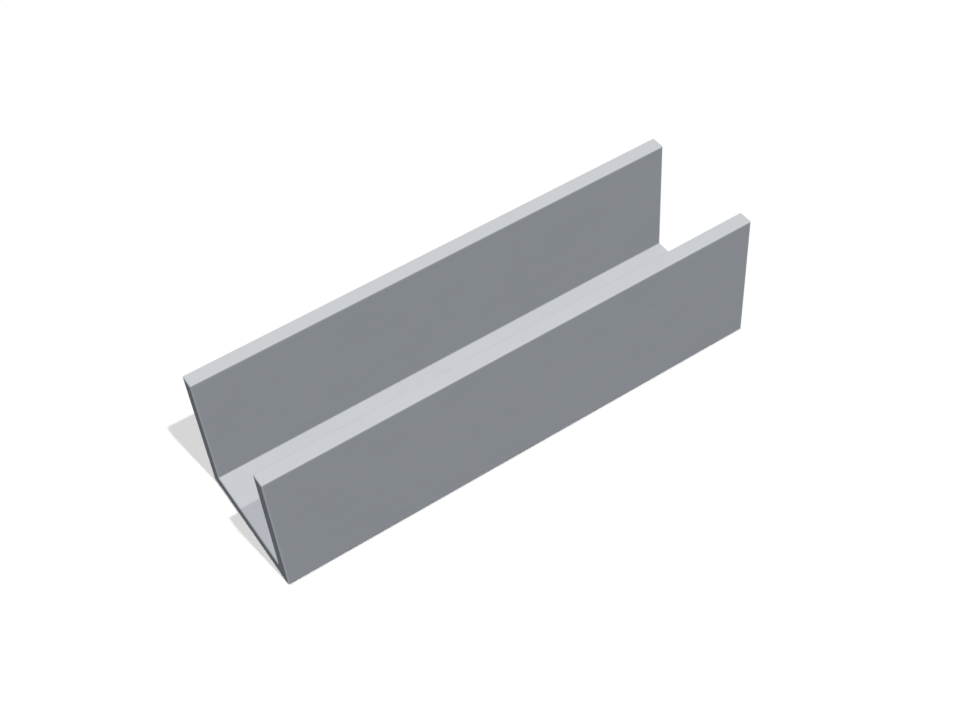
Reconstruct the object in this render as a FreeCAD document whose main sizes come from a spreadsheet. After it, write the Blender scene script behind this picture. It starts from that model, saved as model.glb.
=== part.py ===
import FreeCAD, Part
import os
import Sketcher

# A square U-channel in rigid plastic: one length of extruded stock, sawn square at both ends.
# It lies on its web with its open side up. X runs along the channel, Y across it and Z up, and
# the origin is the middle of the underside. Sizes are in millimetres.

DIMENSIONS = (
    ("width", 19.05, "outside, over both flanges (3/4 in)"),
    ("height", 19.05, "underside to flange tips (3/4 in)"),
    ("flange_wall", 1.98, "thickness of each flange (5/64 in)"),
    ("web_wall", 1.98, "thickness of the web (5/64 in)"),
    ("cut_length", 66.7, "sawn length of this piece"),
    ("arris_radius", 0.2, "every outside edge: heels, flange tips and the eased sawn ends"),
    ("root_radius", 0.1, "inside corners, where a flange leaves the web"),
)
ROOT_POINT = (-1, 1)
LINE_START, LINE_END = 1, 2
SAME_PLACE = 1e-6


def driving_dimensions(doc):
    """The spreadsheet that drives every size of the channel."""
    sheet = doc.addObject("Spreadsheet::Sheet", "dims")
    for row, (alias, size, meaning) in enumerate(DIMENSIONS, start=1):
        sheet.set(f"A{row}", alias)
        sheet.set(f"B{row}", str(size))
        sheet.set(f"C{row}", meaning)
        sheet.setAlias(f"B{row}", alias)
    doc.recompute()
    return sheet


def section_corners(sheet):
    """Corners (y, z) of the section, anticlockwise from the left end of the underside."""
    outer = sheet.width / 2
    inner = outer - sheet.flange_wall
    return [
        (-outer, 0),
        (outer, 0),
        (outer, sheet.height),
        (inner, sheet.height),
        (inner, sheet.web_wall),
        (-inner, sheet.web_wall),
        (-inner, sheet.height),
        (-outer, sheet.height),
    ]


def section_sketch(body, sheet):
    """The mouth of the extrusion die: a U of straight walls, drawn with sharp corners."""
    sketch = body.newObject("Sketcher::SketchObject", "die_section")
    across = next(f for f in body.Origin.OriginFeatures if f.Role == "YZ_Plane")
    sketch.AttachmentSupport = [(across, "")]
    sketch.MapMode = "FlatFace"

    corners = [FreeCAD.Vector(y, z, 0) for y, z in section_corners(sheet)]
    following = corners[1:] + corners[:1]
    lines = [Part.LineSegment(a, b) for a, b in zip(corners, following)]
    (
        underside,
        right_face,
        right_tip,
        right_inside,
        web_top,
        left_inside,
        left_tip,
        left_face,
    ) = sketch.addGeometry(lines, False)

    level = (underside, right_tip, web_top, left_tip)
    upright = (right_face, right_inside, left_inside, left_face)
    for line in level:
        sketch.addConstraint(Sketcher.Constraint("Horizontal", line))
    for line in upright:
        sketch.addConstraint(Sketcher.Constraint("Vertical", line))
    for line in range(len(lines)):
        after = (line + 1) % len(lines)
        joined = Sketcher.Constraint("Coincident", line, LINE_END, after, LINE_START)
        sketch.addConstraint(joined)
    sketch.addConstraint(
        [
            Sketcher.Constraint("Symmetric", underside, LINE_START, underside, LINE_END, *ROOT_POINT),
            Sketcher.Constraint("Equal", right_face, left_face),
            Sketcher.Constraint("Equal", right_tip, left_tip),
        ]
    )

    sizes = (
        ("width", "DistanceX", (underside, LINE_START, underside, LINE_END)),
        ("height", "DistanceY", (right_face, LINE_START, right_face, LINE_END)),
        ("flange_wall", "DistanceX", (right_tip, LINE_END, right_tip, LINE_START)),
        ("web_wall", "DistanceY", (underside, LINE_END, web_top, LINE_START)),
    )
    for name, kind, ends in sizes:
        index = sketch.addConstraint(Sketcher.Constraint(kind, *ends, getattr(sheet, name)))
        sketch.renameConstraint(index, name)
        sketch.setExpression(f"Constraints.{name}", f"{sheet.Name}.{name}")
    return sketch


def lengthwise_edges(feature, places):
    """Names of the edges that run along the channel through the given (y, z) places."""
    names = []
    for number, edge in enumerate(feature.Shape.Edges, start=1):
        middle = edge.CenterOfMass
        for y, z in places:
            if middle.isEqual(FreeCAD.Vector(0, y, z), SAME_PLACE):
                names.append(f"Edge{number}")
    if len(names) != len(places):
        raise RuntimeError(f"{feature.Name} has {len(names)} of the {len(places)} edges to round")
    return names


def sawn_edges(feature, half_length):
    """Names of the edges that go round the two sawn ends."""
    names = []
    for number, edge in enumerate(feature.Shape.Edges, start=1):
        box = edge.BoundBox
        square = box.XLength < SAME_PLACE
        if square and abs(abs(box.Center.x) - half_length) < SAME_PLACE:
            names.append(f"Edge{number}")
    return names


def rounded(body, name, edges, radius):
    """Rounds these edges of the body's last feature with one of the spreadsheet's radii."""
    last = body.Tip
    fillet = body.newObject("PartDesign::Fillet", name)
    fillet.Base = (last, edges)
    fillet.setExpression("Radius", radius)
    body.Document.recompute()
    return fillet


def u_channel(doc, sheet):
    """The whole channel: its section drawn out to length, then the small radii on its edges."""
    body = doc.addObject("PartDesign::Body", "u_channel")
    body.Label = "u_channel"
    sketch = section_sketch(body, sheet)
    extrusion = body.newObject("PartDesign::Pad", "extrusion")
    extrusion.Profile = sketch
    extrusion.SideType = "Symmetric"
    extrusion.setExpression("Length", f"{sheet.Name}.cut_length")
    sketch.Visibility = False
    doc.recompute()

    corners = section_corners(sheet)
    heels_and_tips = corners[0:4] + corners[6:8]
    inside_corners = corners[4:6]
    roots = lengthwise_edges(extrusion, inside_corners)
    rooted = rounded(body, "roots", roots, f"{sheet.Name}.root_radius")
    arrises = lengthwise_edges(rooted, heels_and_tips) + sawn_edges(rooted, sheet.cut_length / 2)
    rounded(body, "arrises", arrises, f"{sheet.Name}.arris_radius")
    return body


def check(doc, parts):
    """Stops if a feature failed or a part isn't one sound solid."""
    for item in doc.Objects:
        if {"Invalid", "Error"} & set(item.State):
            raise RuntimeError(f"{item.Label} failed to build: {item.State}")
    for part in parts:
        shape = part.Shape
        if shape.isNull() or not shape.isValid() or len(shape.Solids) != 1:
            raise RuntimeError(f"{part.Label} isn't one sound solid")


def main():
    doc = FreeCAD.newDocument("u_channel_stock")
    sheet = driving_dimensions(doc)
    parts = [u_channel(doc, sheet)]
    doc.recompute()
    check(doc, parts)
    os.makedirs("parts", exist_ok=True)
    for part in parts:
        part.Shape.exportStep(f"parts/{part.Label}.step")
        print(f"{part.Label}: {part.Shape.Volume:.1f} mm3, {part.Shape.BoundBox}")


main()
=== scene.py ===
import math

import bmesh
import bpy
from mathutils import Matrix, Vector


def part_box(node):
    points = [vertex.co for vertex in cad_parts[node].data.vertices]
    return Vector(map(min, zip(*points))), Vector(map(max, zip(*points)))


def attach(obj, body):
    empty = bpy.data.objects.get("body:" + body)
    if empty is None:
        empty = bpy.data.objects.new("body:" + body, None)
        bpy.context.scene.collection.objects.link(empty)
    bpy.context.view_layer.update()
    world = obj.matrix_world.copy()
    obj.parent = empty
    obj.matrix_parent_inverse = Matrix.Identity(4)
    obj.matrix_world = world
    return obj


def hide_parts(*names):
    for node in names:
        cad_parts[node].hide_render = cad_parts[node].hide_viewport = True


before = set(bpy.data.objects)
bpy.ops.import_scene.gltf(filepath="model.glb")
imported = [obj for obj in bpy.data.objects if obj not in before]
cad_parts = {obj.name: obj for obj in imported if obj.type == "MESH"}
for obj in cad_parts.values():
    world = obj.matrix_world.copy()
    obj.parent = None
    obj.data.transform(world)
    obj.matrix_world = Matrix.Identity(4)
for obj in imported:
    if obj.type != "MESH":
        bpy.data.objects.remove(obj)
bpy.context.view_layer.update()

# The channel's form: one length of rigid PVC, drawn through a U-shaped die and sawn square at
# both ends. The web lies on the floor and the two flanges stand up from its edges. It is
# modelled the way the section reads: a flat web, two flanges pulled up, then the small radii.

# Sizes are in metres. The outside ones are those of the CAD solid's box.
_, (half_length, half_width, height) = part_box("u_channel")
wall = 0.00198
slot_half_width = half_width - wall
arris_radius = 0.0002
root_radius = 0.0001
radius_steps = 4

along = Vector((1, 0, 0))
across = Vector((0, 1, 0))
up = Vector((0, 0, 1))
same_place = 1e-6

# An edge or a face's normal points a given way if more than this share of it does, and faces
# that meet at less than this angle are one flat face.
mostly = 0.9
flat_angle = math.radians(1)


def choose(kind, wanted):
    """Selects only the faces or edges of the mesh in edit mode that are wanted."""
    bpy.ops.mesh.select_mode(type=kind)
    bpy.ops.mesh.select_all(action="DESELECT")
    mesh = bmesh.from_edit_mesh(bpy.context.edit_object.data)
    for part in mesh.faces if kind == "FACE" else mesh.edges:
        if wanted(part):
            part.select_set(True)
    bmesh.update_edit_mesh(bpy.context.edit_object.data)


def rule(direction, places):
    """Rules the whole mesh with a line of vertices at each of the places in one direction."""
    for place in places:
        bpy.ops.mesh.select_all(action="SELECT")
        bpy.ops.mesh.bisect(plane_co=direction * place, plane_no=direction, threshold=same_place)


def is_web_margin(face):
    """The top of either margin of the web, where a flange stands."""
    return face.normal.z > mostly and abs(face.calc_center_median().y) > slot_half_width


def runs_lengthwise(edge):
    run = edge.verts[1].co - edge.verts[0].co
    return abs(run.x) > mostly * run.length


def middle_of(edge):
    return (edge.verts[0].co + edge.verts[1].co) / 2


def is_root(edge):
    """An inside corner, where a flange leaves the web."""
    at = middle_of(edge)
    beside_slot = abs(abs(at.y) - slot_half_width) < same_place
    return runs_lengthwise(edge) and beside_slot and abs(at.z - wall) < same_place


def is_arris(edge):
    """An outside edge: a heel, a side of a flange tip, or the outline of a sawn end."""
    square_faces = [abs(face.normal.x) > mostly for face in edge.link_faces]
    if any(square_faces) and not all(square_faces):
        return True
    at = middle_of(edge)
    heel = at.z < same_place and abs(abs(at.y) - half_width) < same_place
    tip = abs(at.z - height) < same_place
    return runs_lengthwise(edge) and (heel or tip)


bpy.ops.object.select_all(action="DESELECT")
bpy.ops.mesh.primitive_cube_add(
    size=1,
    location=(0, 0, wall / 2),
    scale=(2 * half_length, 2 * half_width, wall),
)
channel = bpy.context.object
channel.name = channel.data.name = "channel"
bpy.ops.object.transform_apply(location=True, rotation=True, scale=True)

bpy.ops.object.mode_set(mode="EDIT")
rule(across, (-slot_half_width, slot_half_width))
choose("FACE", is_web_margin)
bpy.ops.mesh.extrude_region_move(TRANSFORM_OT_translate={"value": (0, 0, height - wall)})
bpy.ops.mesh.select_all(action="SELECT")
bpy.ops.mesh.dissolve_limited(angle_limit=flat_angle)
choose("EDGE", is_root)
bpy.ops.mesh.bevel(offset=root_radius, segments=radius_steps, profile=0.5, affect="EDGES")
choose("EDGE", is_arris)
bpy.ops.mesh.bevel(offset=arris_radius, segments=radius_steps, profile=0.5, affect="EDGES")

# The map for baking: the drawn surface unrolled as one sheet, and beside it the two sawn ends,
# seen square on and at about twice the sheet's scale.

sawn_end_on_map = 0.35
map_margin = 0.004


def is_seam(edge):
    """A slit to lay the surface out flat: beside one heel, and round both ends behind their radius."""
    at = middle_of(edge)
    beside_heel = abs(at.y + half_width - arris_radius) < same_place and at.z < same_place
    behind_end = abs(abs(at.x) - half_length + arris_radius) < same_place
    return behind_end or runs_lengthwise(edge) and beside_heel


def lay_square(face, on_map):
    """Puts a face of a sawn end on the map as it is seen from outside, square on."""
    outward = math.copysign(1, face.calc_center_median().x)
    for corner in face.loops:
        at = corner.vert.co
        corner[on_map].uv = Vector((outward * at.y, at.z)) * sawn_end_on_map / (2 * half_width)


choose("EDGE", is_seam)
bpy.ops.mesh.mark_seam(clear=False)
bpy.ops.mesh.select_all(action="SELECT")
channel.data.uv_layers.active.name = "OFBake"
bpy.ops.uv.unwrap(method="CONFORMAL", margin=map_margin)
mesh = bmesh.from_edit_mesh(channel.data)
for face in mesh.faces:
    if abs(face.calc_center_median().x) > half_length - arris_radius:
        lay_square(face, mesh.loops.layers.uv.active)
bmesh.update_edit_mesh(channel.data)
bpy.ops.uv.select_all(action="SELECT")
bpy.ops.uv.pack_islands(rotate=False, margin=map_margin)

# Lines ruled on the form, close enough together to carry the relief. The clearance keeps the
# outermost lines of the length and of the slot's floor off the radii beside them.

lines_across_web = 112
lines_across_flange = 12
lines_up_web = 10
lines_up_flange = 98
rows_along = 65
clear_of_radius = 0.00008


def evenly(first, last, count):
    """Places for count lines, evenly spread from first to last and clear of both."""
    pitch = (last - first) / count
    return [first + pitch * (number + 0.5) for number in range(count)]


def is_unbroken(edge):
    """A lengthwise edge that runs all the way between the last rows of the two ends."""
    return runs_lengthwise(edge) and edge.calc_length() > last_row


last_row = half_length - arris_radius - clear_of_radius
rule(along, (-last_row, last_row))
slot_floor_edge = slot_half_width - root_radius - clear_of_radius
rule(across, evenly(-slot_floor_edge, slot_floor_edge, lines_across_web))
flange_inside = slot_half_width + arris_radius
flange_outside = half_width - arris_radius
for side in (-1, 1):
    rule(across, [side * place for place in evenly(flange_inside, flange_outside, lines_across_flange)])
rule(up, evenly(arris_radius, wall - arris_radius, lines_up_web))
rule(up, evenly(wall + root_radius, height - arris_radius, lines_up_flange))
choose("EDGE", is_unbroken)
bpy.ops.mesh.subdivide(number_cuts=rows_along)
bpy.ops.object.mode_set(mode="OBJECT")

# The relief on it: fine lengthwise lines that the die leaves on every drawn face, and on the
# two sawn ends the curved marks of the blade. Both are cut into the surface, never raised.

die_line_depth = 0.00002
die_line_pitch = 0.0007
die_line_reach = 0.08
saw_mark_depth = 0.000012
saw_mark_pitch = 0.0005
blade_centre = Vector((0, -0.085, 0.095))
smoothed_up_to = math.radians(40)

# The textures' own sizes: that of a cloud, and that from ring to ring of the wood, whose wave
# turns by 20 radians in each unit of length.
cloud_size = 0.25
wood_ring_pitch = math.tau / 20


def cut_in(name, kind, depth, group, at, scale, **texture_settings):
    """Sinks a procedural texture's relief into the vertices of one group, to this depth."""
    texture = bpy.data.textures.new(name, kind)
    for setting, value in texture_settings.items():
        setattr(texture, setting, value)
    gauge = bpy.data.objects.new(name, None)
    gauge.location = at
    gauge.scale = scale
    bpy.context.scene.collection.objects.link(gauge)
    relief = channel.modifiers.new(name, "DISPLACE")
    relief.texture = texture
    relief.texture_coords = "OBJECT"
    relief.texture_coords_object = gauge
    relief.vertex_group = group
    relief.strength = depth
    relief.mid_level = 1
    bpy.context.view_layer.update()
    bpy.ops.object.modifier_apply(modifier=name)
    bpy.data.objects.remove(gauge)


sawn = channel.vertex_groups.new(name="sawn")
drawn = channel.vertex_groups.new(name="drawn")
at_cut = [abs(abs(vertex.co.x) - half_length) < same_place for vertex in channel.data.vertices]
sawn.add([number for number, cut in enumerate(at_cut) if cut], 1, "REPLACE")
drawn.add([number for number, cut in enumerate(at_cut) if not cut], 1, "REPLACE")
cut_in(
    "die_lines",
    "CLOUDS",
    die_line_depth,
    "drawn",
    at=(0, 0, 0),
    scale=(die_line_reach / cloud_size, die_line_pitch / cloud_size, die_line_pitch / cloud_size),
    noise_depth=2,
)
cut_in(
    "saw_marks",
    "WOOD",
    saw_mark_depth,
    "sawn",
    at=blade_centre,
    scale=(1, saw_mark_pitch / wood_ring_pitch, saw_mark_pitch / wood_ring_pitch),
    wood_type="RINGNOISE",
    noise_basis_2="SIN",
    turbulence=2,
)
channel.vertex_groups.clear()
bpy.ops.object.shade_smooth_by_angle(angle=smoothed_up_to)

# The PVC: one grey compound right through, so both finishes start from the same colour. The
# drawn faces have the die's satin skin. The sawn ends are matt, and the skin beside their upright
# edges is painted paler: partly where a scraper took off the burr, partly a painted highlight.

pvc_grey = (0.578, 0.617, 0.668, 1)
pvc_refraction = 1.5
pvc_specular_level = 0.1


class Nodes:
    """A node tree that is written one node at a time, each with its inputs."""

    def __init__(self, tree):
        self.tree = tree

    def add(self, kind, label, inputs=(), **settings):
        node = self.tree.nodes.new(kind)
        node.label = label
        for setting, value in settings.items():
            setattr(node, setting, value)
        for socket, value in dict(inputs).items():
            if isinstance(value, bpy.types.NodeSocket):
                self.tree.links.new(value, node.inputs[socket])
            else:
                node.inputs[socket].default_value = value
        return node


def effect(name, inputs, outputs):
    """A shader node group with named sockets: (nodes, group input, group output)."""
    tree = bpy.data.node_groups.new(name, "ShaderNodeTree")
    for direction, sockets in (("INPUT", inputs), ("OUTPUT", outputs)):
        for socket, kind in sockets:
            tree.interface.new_socket(socket, in_out=direction, socket_type=f"NodeSocket{kind}")
    nodes = Nodes(tree)
    return nodes, nodes.add("NodeGroupInput", "in"), nodes.add("NodeGroupOutput", "out")


def place_effect(nodes, name, inputs):
    """Puts one of the effects among these nodes, with values of its own."""
    return nodes.add("ShaderNodeGroup", name, inputs, node_tree=bpy.data.node_groups[name])


# Clouding: the faint patches of lighter and darker grey in any mixed and coloured compound.

nodes, given, result = effect(
    "clouding",
    (("Place", "Vector"), ("Colour", "Color"), ("Amount", "Float")),
    (("Colour", "Color"),),
)
patches = nodes.add(
    "ShaderNodeTexNoise",
    "patches",
    {"Vector": given.outputs["Place"], "Scale": 130, "Detail": 3, "Roughness": 0.55},
)
centred = nodes.add(
    "ShaderNodeMath",
    "about zero",
    {0: patches.outputs["Fac"], 1: -0.5},
    operation="ADD",
)
shade = nodes.add(
    "ShaderNodeMath",
    "shade",
    {0: centred.outputs[0], 1: given.outputs["Amount"], 2: 1},
    operation="MULTIPLY_ADD",
)
clouded = nodes.add(
    "ShaderNodeVectorMath",
    "clouded",
    {0: given.outputs["Colour"], 1: shade.outputs[0]},
    operation="MULTIPLY",
)
nodes.tree.links.new(clouded.outputs[0], result.inputs["Colour"])

# Scraped edge and painted highlight: the paler line down each upright edge of a sawn end,
# strongest on the eased edge. It is partly scraped whitening and partly a painted highlight,
# so level faces are left out.

nodes, given, result = effect(
    "scraped_edge_and_highlight",
    (
        ("Place", "Vector"),
        ("Facing", "Vector"),
        ("Colour", "Color"),
        ("Width", "Float"),
        ("Paleness", "Float"),
    ),
    (("Colour", "Color"),),
)
parts = nodes.add("ShaderNodeSeparateXYZ", "parts", {0: given.outputs["Place"]})
from_middle = nodes.add("ShaderNodeMath", "from middle", {0: parts.outputs["X"]}, operation="ABSOLUTE")
to_end = nodes.add(
    "ShaderNodeMath",
    "to the sawn end",
    {0: half_length, 1: from_middle.outputs[0]},
    operation="SUBTRACT",
)
nearness = nodes.add(
    "ShaderNodeMapRange",
    "nearness",
    {
        "Value": to_end.outputs[0],
        "From Min": given.outputs["Width"],
        "From Max": 0,
        "To Max": given.outputs["Paleness"],
    },
    interpolation_type="SMOOTHSTEP",
)
facing = nodes.add("ShaderNodeSeparateXYZ", "facing", {0: given.outputs["Facing"]})
levelness = nodes.add("ShaderNodeMath", "levelness", {0: facing.outputs["Z"]}, operation="ABSOLUTE")
uprightness = nodes.add(
    "ShaderNodeMath",
    "uprightness",
    {0: 1, 1: levelness.outputs[0]},
    operation="SUBTRACT",
)
paler = nodes.add(
    "ShaderNodeMath",
    "paler",
    {0: nearness.outputs["Result"], 1: uprightness.outputs[0], 2: 1},
    operation="MULTIPLY_ADD",
)
rimmed = nodes.add(
    "ShaderNodeVectorMath",
    "rimmed",
    {0: given.outputs["Colour"], 1: paler.outputs[0]},
    operation="MULTIPLY",
)
nodes.tree.links.new(rimmed.outputs[0], result.inputs["Colour"])


def finish_of(name, inputs=()):
    """A new PVC material: (material, nodes, coordinates on the channel, shader)."""
    material = bpy.data.materials.new(name)
    material.use_nodes = True
    material.node_tree.nodes.clear()
    nodes = Nodes(material.node_tree)
    on_channel = nodes.add("ShaderNodeTexCoord", "on the channel").outputs
    shader = nodes.add(
        "ShaderNodeBsdfPrincipled",
        name,
        {"IOR": pvc_refraction, "Specular IOR Level": pvc_specular_level, **dict(inputs)},
    )
    nodes.add("ShaderNodeOutputMaterial", "surface", {"Surface": shader.outputs["BSDF"]})
    return material, nodes, on_channel, shader


# The drawn skin: satin, with fine lines along the channel that show in its gloss.

line_grain = (12, 2400, 2400)
# Width of the paler line by the sawn ends, which is partly a painted highlight.
scraped_and_highlit_width = 0.00028

skin, nodes, on_channel, shader = finish_of("drawn_skin")
at = on_channel["Object"]
stretched = nodes.add("ShaderNodeMapping", "drawn out", {"Vector": at, "Scale": line_grain})
lines = nodes.add(
    "ShaderNodeTexNoise",
    "lines",
    {"Vector": stretched.outputs["Vector"], "Scale": 1, "Detail": 4, "Roughness": 0.6},
)
rubs = nodes.add(
    "ShaderNodeTexNoise",
    "rubs",
    {"Vector": at, "Scale": 70, "Detail": 5, "Roughness": 0.7},
)
sheen = nodes.add(
    "ShaderNodeMath",
    "sheen",
    {0: lines.outputs["Fac"], 1: rubs.outputs["Fac"]},
    operation="ADD",
)
gloss = nodes.add(
    "ShaderNodeMapRange",
    "gloss",
    {"Value": sheen.outputs[0], "From Min": 0.7, "From Max": 1.3, "To Min": 0.48, "To Max": 0.62},
)
compound = place_effect(nodes, "clouding", {"Place": at, "Colour": pvc_grey, "Amount": 0.06})
# The paler line by the sawn ends: partly scraped whitening, partly a painted highlight.
rimmed = place_effect(
    nodes,
    "scraped_edge_and_highlight",
    {
        "Place": at,
        "Facing": on_channel["Normal"],
        "Colour": compound.outputs["Colour"],
        "Width": scraped_and_highlit_width,
        "Paleness": 0.34,
    },
)
relief = nodes.add(
    "ShaderNodeBump",
    "relief",
    {"Strength": 0.5, "Distance": 0.000008, "Height": lines.outputs["Fac"]},
)
nodes.tree.links.new(rimmed.outputs["Colour"], shader.inputs["Base Color"])
nodes.tree.links.new(gloss.outputs["Result"], shader.inputs["Roughness"])
nodes.tree.links.new(relief.outputs["Normal"], shader.inputs["Normal"])

# The sawn ends: matt, with the scratches of single teeth between the blade's deeper marks.

tooth_pitch = 0.00016

cut, nodes, on_channel, shader = finish_of("sawn_end", {"Roughness": 0.7})
at = on_channel["Object"]
flat = nodes.add("ShaderNodeVectorMath", "in the cut", {0: at, 1: (0, 1, 1)}, operation="MULTIPLY")
reach = nodes.add(
    "ShaderNodeVectorMath",
    "reach of the blade",
    {0: flat.outputs[0], 1: blade_centre},
    operation="DISTANCE",
)
teeth = nodes.add(
    "ShaderNodeMath",
    "teeth",
    {0: reach.outputs["Value"], 1: 1 / tooth_pitch},
    operation="MULTIPLY",
)
scratches = nodes.add(
    "ShaderNodeTexNoise",
    "scratches",
    {"W": teeth.outputs[0], "Scale": 1, "Detail": 3, "Roughness": 0.6},
    noise_dimensions="1D",
)
compound = place_effect(nodes, "clouding", {"Place": at, "Colour": pvc_grey, "Amount": 0.1})
chalked = nodes.add(
    "ShaderNodeMapRange",
    "chalked",
    {
        "Value": scratches.outputs["Fac"],
        "From Min": 0.25,
        "From Max": 0.75,
        "To Min": 0.96,
        "To Max": 1.04,
    },
)
cut_colour = nodes.add(
    "ShaderNodeVectorMath",
    "cut colour",
    {0: compound.outputs["Colour"], 1: chalked.outputs["Result"]},
    operation="MULTIPLY",
)
relief = nodes.add(
    "ShaderNodeBump",
    "relief",
    {"Strength": 0.5, "Distance": 0.00001, "Height": scratches.outputs["Fac"]},
)
nodes.tree.links.new(cut_colour.outputs[0], shader.inputs["Base Color"])
nodes.tree.links.new(relief.outputs["Normal"], shader.inputs["Normal"])

channel.data.materials.append(skin)
channel.data.materials.append(cut)
for face in channel.data.polygons:
    if abs(face.normal.x) > mostly:
        face.material_index = 1
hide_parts("u_channel")
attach(channel, "root")

# The floor: plain and white, wide enough to fill every view. A second lamp from the key's side
# shines on it alone, because the photograph's shadow is deeper on the floor than in the slot.

floor_size = 6
floor_white = (0.849, 0.867, 0.874, 1)
bpy.ops.object.select_all(action="DESELECT")
bpy.ops.mesh.primitive_plane_add(size=floor_size)
floor = bpy.context.object
floor.name = "floor"
paint = bpy.data.materials.new("floor_white")
paint.use_nodes = True
paint.node_tree.nodes.clear()
nodes = Nodes(paint.node_tree)
matt = nodes.add("ShaderNodeBsdfDiffuse", "matt white", {"Color": floor_white})
nodes.add("ShaderNodeOutputMaterial", "surface", {"Surface": matt.outputs["BSDF"]})
floor.data.materials.append(paint)
floor_alone = bpy.data.collections.new("floor_alone")
floor_alone.objects.link(floor)

# The light: a key from over the near flange that throws the shadow along the web, a lamp
# straight above, and low fills all round that keep the upright faces from going dark. The fills
# stand for the light of the room, so they throw no shadow and leave no highlight.

key_from = (0.061, -0.49, 0.87)
lamp_width = math.radians(1)

# Each lamp's name, where it shines from, its light, whether it throws a shadow, what it lights alone.
lamps = (
    ("key", key_from, (0.852, 0.788, 0.666), True, None),
    ("key_on_floor", key_from, (0.571, 0.606, 0.717), True, floor_alone),
    ("above", (0, 0, 1), (2.037, 1.979, 1.95), True, None),
    ("front_fill", (-0.1, -1, 0.15), (0.817, 0.849, 0.909), False, None),
    ("left_fill", (-1, 0.05, 0.15), (0.426, 0.425, 0.434), False, None),
    ("right_fill", (1, -0.05, 0.15), (0.88, 0.88, 0.88), False, None),
    ("back_fill", (0.15, 1, 0.15), (0.94, 0.94, 0.94), False, None),
)
for name, comes_from, light, casts_shadow, lit_alone in lamps:
    lamp = bpy.data.lights.new(name, "SUN")
    lamp.energy = max(light)
    lamp.color = [part / max(light) for part in light]
    lamp.angle = lamp_width
    lamp.use_shadow = casts_shadow
    stand = bpy.data.objects.new(name, lamp)
    stand.rotation_euler = (-Vector(comes_from)).to_track_quat("-Z", "Y").to_euler()
    stand.light_linking.receiver_collection = lit_alone
    stand.visible_glossy = casts_shadow
    bpy.context.scene.collection.objects.link(stand)

# The room: white where it is seen, mirrored or seen through glass, and without light of its own.
# The photograph shows no light thrown from face to face, so none is rendered.

world = bpy.data.worlds.new("studio")
world.use_nodes = True
world.node_tree.nodes.clear()
world.cycles.sampling_method = "NONE"
nodes = Nodes(world.node_tree)
ray = nodes.add("ShaderNodeLightPath", "ray")
mirrored = nodes.add(
    "ShaderNodeMath",
    "seen or mirrored",
    {0: ray.outputs["Is Camera Ray"], 1: ray.outputs["Is Glossy Ray"]},
    operation="MAXIMUM",
)
white = nodes.add(
    "ShaderNodeMath",
    "or through glass",
    {0: mirrored.outputs[0], 1: ray.outputs["Is Transmission Ray"]},
    operation="MAXIMUM",
)
backdrop = nodes.add(
    "ShaderNodeBackground",
    "backdrop",
    {"Color": (1, 1, 1, 1), "Strength": white.outputs[0]},
)
nodes.add("ShaderNodeOutputWorld", "world", {"Surface": backdrop.outputs["Background"]})
bpy.context.scene.world = world
bpy.context.scene.cycles.max_bounces = 0

# The camera: the photograph's, found from the channel's own straight edges. It looks down from
# above the near left end, and is turned a little about its line of sight.

camera_at = Vector((-0.060688, -0.108064, 0.148736))
camera_looks = Vector((0.322732, 0.576129, -0.750945))
camera_roll = math.radians(5.4962)
camera = bpy.data.cameras.new("camera")
camera.lens = 57.896
camera.sensor_width = 36
camera.clip_start = 0.01
viewer = bpy.data.objects.new("camera", camera)
level = camera_looks.to_track_quat("-Z", "Y").to_matrix()
rolled = level @ Matrix.Rotation(-camera_roll, 3, "Z")
viewer.matrix_world = Matrix.Translation(camera_at) @ rolled.to_4x4()
bpy.context.scene.collection.objects.link(viewer)
bpy.context.scene.camera = viewer

bpy.context.scene.view_settings.view_transform = "Standard"
